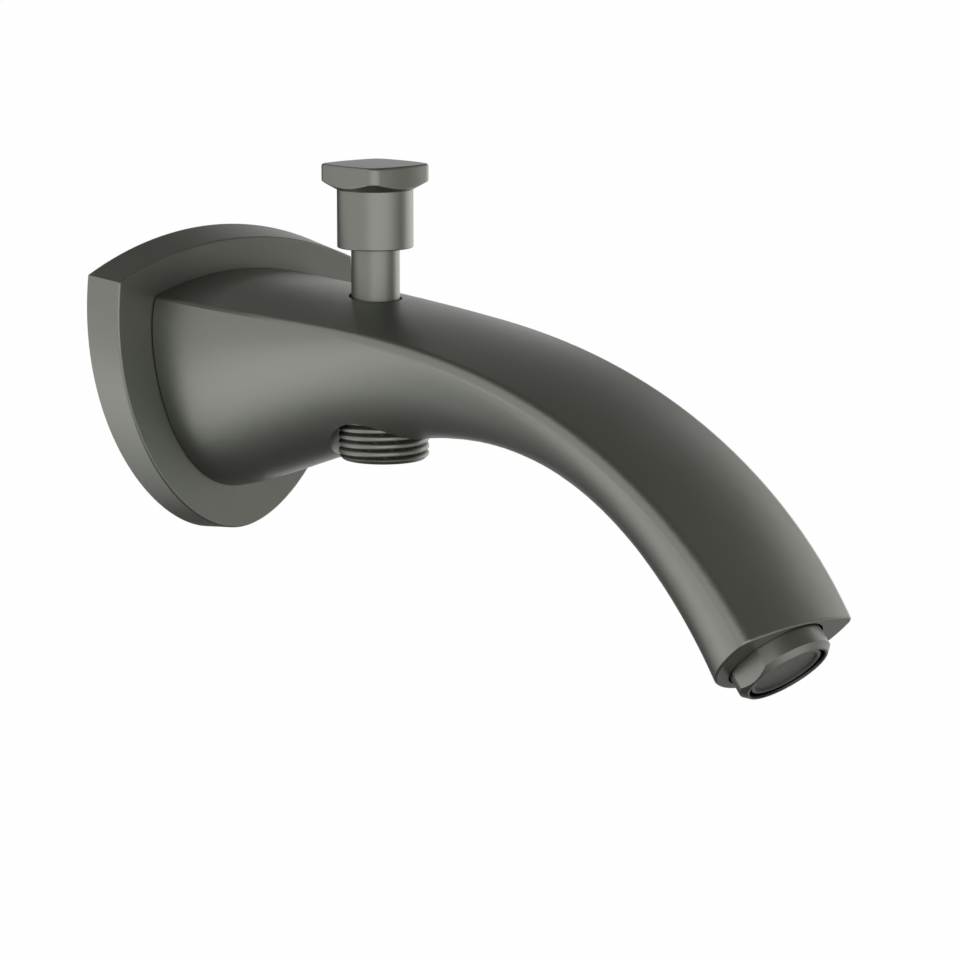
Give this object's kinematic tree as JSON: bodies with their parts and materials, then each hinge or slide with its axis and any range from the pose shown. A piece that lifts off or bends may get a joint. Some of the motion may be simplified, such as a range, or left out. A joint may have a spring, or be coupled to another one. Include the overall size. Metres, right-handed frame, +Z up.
{
  "type": "bath spout",
  "caption": "Curved wall-mounted bath spout with a shield-shaped wall flange, a pull-up diverter knob, a threaded hose connection underneath and an aerator in the tip.",
  "frame": {"origin": "on the wall plane, at the mouth of the inlet thread, on its axis", "axes": "+Z up; +Y into the wall, so the spout reaches out from the wall along -Y; X across the spout, which is symmetric about X = 0"},
  "size_m": [0.077, 0.1934, 0.1049],
  "materials": {
    "graphite_metal": "brass with a satin graphite coating",
    "dark_plastic": "matt moulded plastic",
    "mesh_steel": "plain stainless steel",
    "seal_rubber": "matt black rubber",
    "bare_brass": "turned brass"
  },
  "bodies": {
    "spout": {"spout_body": "graphite_metal", "wall_flange": "graphite_metal", "flange_o_ring": "seal_rubber", "wall_seal": "seal_rubber", "inlet_washer": "seal_rubber", "stem_o_ring": "seal_rubber", "hose_nipple": "graphite_metal", "hose_o_ring": "seal_rubber", "aerator_housing": "graphite_metal", "aerator_cage": "dark_plastic", "aerator_screen": "dark_plastic", "flow_regulator": "dark_plastic", "aerator_washer": "seal_rubber"},
    "diverter": {"diverter_knob": "graphite_metal", "diverter_spindle": "graphite_metal", "valve_disc": "bare_brass", "upper_valve_washer": "seal_rubber", "lower_valve_washer": "seal_rubber", "valve_screw": "mesh_steel"}
  },
  "joints": [
    {"name": "diverter_lift", "type": "slide", "parent": "spout", "child": "diverter", "axis": [0, 0, 1], "range_m": [0, 0.0055]}
  ]
}
